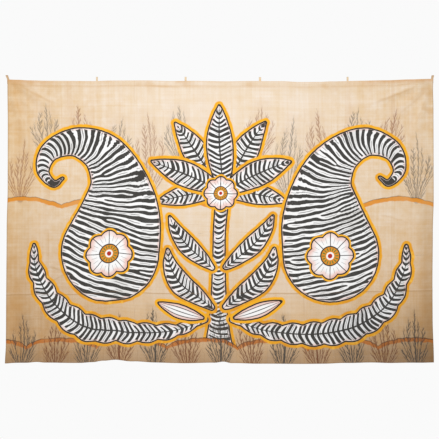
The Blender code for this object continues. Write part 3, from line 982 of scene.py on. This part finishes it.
def hangCloth():
    # The face is the grid of sheetAt; the back lies a thickness behind it along the face's normal, thicker
    # in the hem; a strip joins the two all round.
    rows, columns, deep = cloth["rows"], cloth["columns"], cloth["hemDepth"]
    drop = leftDrop()
    inHem = [*cloth["hemLines"], deep]
    lines = np.linspace(deep + cloth["hemStep"], drop, rows + 1 - len(inHem)) / drop
    lines = np.concatenate([np.array(inHem) / drop, lines])
    down, along = np.meshgrid(lines, np.linspace(0, 1, columns + 1), indexing="ij")
    face = sheetAt(along, down)
    normal = np.cross(np.gradient(face, axis=0), np.gradient(face, axis=1))
    normal /= np.linalg.norm(normal, axis=-1, keepdims=True)
    thick = np.where(down * drop <= deep + 1e-6, cloth["hemThickness"], cloth["thickness"])
    points = np.concatenate([face.reshape(-1, 3), (face - normal * thick[..., None]).reshape(-1, 3)])
    count = (rows + 1) * (columns + 1)
    index = np.arange(count).reshape(rows + 1, columns + 1)
    ring = np.concatenate([index[0, :-1], index[:-1, -1], index[-1, :0:-1], index[:0:-1, 0]])
    after = np.roll(ring, -1)
    faces = gridFaces(rows, columns)
    rim = np.stack([ring, after, after + count, ring + count], axis=-1)
    faces = np.concatenate([faces, faces[:, ::-1] + count, rim])
    piece = makePiece("painted_cloth", points, faces, paintedCotton())
    wide = cloth["flatSize"][0]
    u, v = (wide * along - wide / 2).ravel(), (cloth["mapTop"] - cloth["hangs"] * down).ravel()
    addMap(piece, "cutCloth", np.tile(np.stack([u, v], axis=-1), (2, 1)))
    addDesign(piece, u, v)
    return piece


def addDesign(piece, u, v):
    # The painted forms as numbers on the points, the same on both faces of the cloth. The hand wanders a
    # little from the plan: each place is moved by soft noise before the forms are worked out there.
    def addBoth(name, values):
        addNumbers(piece, name, [np.tile(value, 2) for value in values])

    size, reach = design["handDrawn"]
    x = u + reach * softNoise(u, v, size, design["handSeed"])
    z = v + reach * softNoise(u, v, size, design["handSeed"] + 1)
    frontLayer = [("leaf", petalRows(*row)) for row in design["frontPetals"]] + [("plain", design["stem"])]
    backLayer = [("leaf", petalRows(*row)) for row in design["backPetals"]]
    leafLayer = bothSides("drop", design["leafDrop"]) + bothSides("lobed", design["sweepLeaf"])
    leafLayer += bothSides("leaf", design["lowLeaf"]) + bothSides("leaf", design["highLeaf"])
    for name, forms in (("backPetals", backLayer), ("frontPetals", frontLayer), ("leaves", leafLayer)):
        addBoth(name, paintedLayer(forms, x, z))
    bushNumbers = bushField(u, v)
    addBoth("bush", bushNumbers[:3])
    addBoth("bushKind", bushNumbers[3:])
    turns = [np.tile(values, 2) for values in forkField(u, v)]
    addNumbers(piece, "forks", turns + [np.repeat([0.0, 1.0], len(u))])
    depth, aside = np.full(u.shape, design["outside"]), np.zeros(u.shape)
    for _, rows in bothSides("bud", design["bud"]):
        d, _, t, _, _ = brushForm(rows, x, z)
        depth, aside = np.where(d > depth, d, depth), np.where(d > depth, t, aside)
    addBoth("budForm", (depth, u * 0, aside))


cotton = hangCloth()
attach(cotton, "root")
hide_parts("cloth")
print("cloth hung:", len(cotton.data.polygons), "faces")


# Sewing thread: along the hem, and in two rows across each tape loop's legs
sewing = {
    "fromSide": 0.012,
    "reach": 3.175,
    "pitch": 0.0065,
    "length": 0.0044,
    "half": 0.00035,
    "aboveEdge": 0.003,
    "slant": 0.0003,
    "seed": 4,
    "shape": (  # along half a stitch; how deep in the cloth; how thick
        (-1.0, 0.0004, 0.35), (-0.72, 0.0001, 0.85), (0.0, -0.0001, 1.0), (0.72, 0.0001, 0.85),
        (1.0, 0.0004, 0.35),
    ),
    "loopRows": (0.010, 0.026),  # down from the cloth's top edge
    "loopPlaces": (-0.0036, 0.0, 0.0036),
    "loopStitch": 0.0026,
    "legBack": 0.00135,  # the tape's back face, behind the hem
}


def tubes(paths, halves, sides=4):
    # Round threads along many paths (n, m, 3): a ring of sides points about each path point, its radius
    # from halves (m), closed by a face at each end.
    run = np.gradient(paths, axis=1)
    run /= np.linalg.norm(run, axis=2, keepdims=True)
    out = np.cross(run, np.array([0.0, 1.0, 0.0]))
    out /= np.linalg.norm(out, axis=2, keepdims=True)
    lift = np.cross(out, run)
    turn = 2 * np.pi * (np.arange(sides) + 0.5) / sides
    ring = out[:, :, None] * np.cos(turn)[:, None] + lift[:, :, None] * np.sin(turn)[:, None]
    points = paths[:, :, None] + ring * halves[:, None, None]
    count, length = paths.shape[:2]
    i, j = np.meshgrid(np.arange(length - 1), np.arange(sides), indexing="ij")
    a, b = i * sides + j, i * sides + (j + 1) % sides
    wall = np.stack([a, b, b + sides, a + sides], axis=-1).reshape(-1, 4)
    caps = np.array([[3, 2, 1, 0], np.arange(4) + (length - 1) * sides])
    faces = np.concatenate([wall, caps])[None] + (np.arange(count) * length * sides)[:, None, None]
    return points.reshape(-1, 3), faces.reshape(-1, 4)


def sewHem():
    # Short running stitches a little above the hem's turned edge and across the loops' legs; the thread
    # dips into the cloth between them.
    left, right = cloth["leftEdge"][0][1], cloth["rightEdge"][0][1]
    drop = leftDrop()
    starts = np.arange(sewing["fromSide"], sewing["reach"], sewing["pitch"])
    rng = np.random.default_rng(sewing["seed"])
    slant = rng.uniform(-sewing["slant"], sewing["slant"], len(starts))
    steps, sink, thick = np.array(sewing["shape"]).T
    along = (starts[:, None] + steps * sewing["length"] / 2) / (right - left)
    down = (cloth["hemDepth"] - sewing["aboveEdge"] + slant[:, None] * steps) / drop + 0 * along
    hemLine = sheetAt(along, down)
    across = np.array(cloth["loopsAcross"])[:, None, None] + np.array(sewing["loopPlaces"])[:, None]
    across = (across + 0 * np.array(sewing["loopRows"])[:, None, None, None]).reshape(-1, 1)
    fall = np.repeat(sewing["loopRows"], len(cloth["loopsAcross"]) * len(sewing["loopPlaces"]))[:, None]
    along = (across + steps * sewing["loopStitch"] / 2 - left) / (right - left)
    legLine = sheetAt(along, fall / drop + 0 * along)
    back = np.array([0.0, 1.0, 0.0])
    front = np.concatenate([hemLine, legLine]) + sink[:, None] * back
    hemBack = hemLine + (cloth["hemThickness"] - sink)[:, None] * back
    legBack = legLine * (1, 0, 1) + (sewing["legBack"] - sink)[:, None] * back
    points, faces = tubes(np.concatenate([front, hemBack, legBack]), sewing["half"] * thick)
    return makePiece("hem_stitches", points, faces, sewingThread())


def sewingThread():
    # Twisted undyed cotton thread: noise gives its tint and its height.
    dye = Dye("sewing thread")
    twist = dye.noise(dye.body(), 900.0, 1.0, "3D")
    colour = dye.mix(paint(214, 186, 150), paint(160, 128, 92), dye.between(-0.2, 0.2, twist))
    return dye.finish({"Base Color": colour, "Roughness": 0.8, "Normal": dye.bump(twist, 0.4, 0.0003)})


thread = sewHem()
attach(thread, "root")
print("hem sewn:", len(thread.data.polygons), "faces")


# The tape: its weave, as turns in a metre, and how it has browned
tapeWeave = {"ribs": 4200.0, "warp": 5200.0, "foldBrown": 0.25, "cornerBrown": 0.42}


def tapeCotton():
    # Narrow woven tape, browned by handling: sines for the ribs across and the fine warp along, darker
    # towards the fold and at the corners.
    dye = Dye("cotton tape")
    x, y, z = dye.split(dye.body())
    blot = dye.noise(dye.body(), 90.0, 2.0, "3D")
    ribs = dye.math("SINE", (z + y) * tapeWeave["ribs"])
    warp = dye.math("SINE", x * tapeWeave["warp"])
    browned = dye.between(-0.004, 0.010, z) * tapeWeave["foldBrown"]
    browned = browned + dye.between(1.30, 1.50, abs(x)) * tapeWeave["cornerBrown"]
    colour = dye.mix(paint(226, 202, 168), paint(172, 122, 72), browned)
    colour = dye.mix(colour, paint(156, 116, 76), dye.between(0.0, 0.3, blot) * 0.30)
    colour = dye.mix(colour, paint(232, 212, 182), dye.between(0.2, 1.0, ribs * warp) * 0.2)
    normal = dye.bump(ribs * 0.6 + warp * 0.4 + blot, 0.5, 0.0003)
    return dye.finish({"Base Color": colour, "Roughness": 0.9, "Normal": normal})


tape = tapeCotton()
for name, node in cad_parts.items():
    if name.startswith("tape_loop"):
        for slot in node.material_slots:
            slot.material = tape


# The room: a pale floor below the picture, a broad soft lamp and a white surround
room = {
    "floorHeight": -3.0,
    "floorAcross": 2.6,
    "floorFront": -1.5,
    "floorBack": 1.0,
    "floorThick": 0.02,
    "surround": 0.42,
    "lampSize": 1.6,
    "lampPower": 205.0,
    "lampAt": (-0.25, -5.0, 0.55),
    "lampTurn": (70.0, 0.0, -3.0),
    "lampTint": (1.0, 0.995, 0.985),
}


def layFloor():
    # A plain pale slab: four corners, then the same a thickness lower.
    x, z = room["floorAcross"], room["floorHeight"]
    front, back = room["floorFront"], room["floorBack"]
    outline = [(-x, front), (x, front), (x, back), (-x, back)]
    corners = np.array([(*place, z - depth) for depth in (0, room["floorThick"]) for place in outline])
    faces = np.array([(0, 1, 2, 3), (7, 6, 5, 4), (0, 4, 5, 1), (1, 5, 6, 2), (2, 6, 7, 3), (3, 7, 4, 0)])
    dye = Dye("pale floor")
    fleck = dye.noise(dye.body(), 3.0, 2.0, "3D")
    colour = dye.mix(paint(232, 231, 228), paint(224, 223, 219), dye.between(-0.2, 0.2, fleck))
    floor = makePiece("floor", corners, faces, dye.finish({"Base Color": colour, "Roughness": 0.7}))


def lightRoom():
    # A surround that the camera sees as white and that lights the cloth softly, and a square lamp above
    # the viewer.
    world = bpy.data.worlds.new("white surround")
    world.use_nodes = True
    tree = world.node_tree
    tree.nodes.clear()
    path = tree.nodes.new("ShaderNodeLightPath")
    seen, felt = (tree.nodes.new("ShaderNodeBackground") for _ in range(2))
    mix = tree.nodes.new("ShaderNodeMixShader")
    output = tree.nodes.new("ShaderNodeOutputWorld")
    seen.inputs["Color"].default_value = paint(250, 250, 250)
    felt.inputs["Color"].default_value = (1.0, 1.0, 1.0, 1.0)
    felt.inputs["Strength"].default_value = room["surround"]
    tree.links.new(path.outputs["Is Camera Ray"], mix.inputs[0])
    tree.links.new(felt.outputs[0], mix.inputs[1])
    tree.links.new(seen.outputs[0], mix.inputs[2])
    tree.links.new(mix.outputs[0], output.inputs["Surface"])
    bpy.context.scene.world = world
    lamp = bpy.data.lights.new("soft lamp", "AREA")
    lamp.shape, lamp.size, lamp.energy = "SQUARE", room["lampSize"], room["lampPower"]
    lamp.color = room["lampTint"]
    holder = bpy.data.objects.new("soft_lamp", lamp)
    holder.location = room["lampAt"]
    holder.rotation_euler = [math.radians(turn) for turn in room["lampTurn"]]
    holder.visible_camera = False
    bpy.context.scene.collection.objects.link(holder)


def standCamera():
    # Far enough that the picture takes in the named width at the cloth: that width times the lens over
    # the sensor.
    lens = bpy.data.cameras.new("view")
    lens.lens, lens.sensor_width, lens.sensor_fit = view["lens"], view["sensor"], "HORIZONTAL"
    lens.clip_start, lens.clip_end = view["clip"]
    away = view["acrossPicture"] * view["lens"] / view["sensor"]
    camera = bpy.data.objects.new("view", lens)
    camera.location = (view["across"], -away - view["forward"], view["height"])
    camera.rotation_euler = (math.pi / 2, 0, 0)
    bpy.context.scene.collection.objects.link(camera)
    bpy.context.scene.camera = camera
    bpy.context.scene.view_settings.view_transform = "Standard"


layFloor()
lightRoom()
standCamera()
print("room lit")
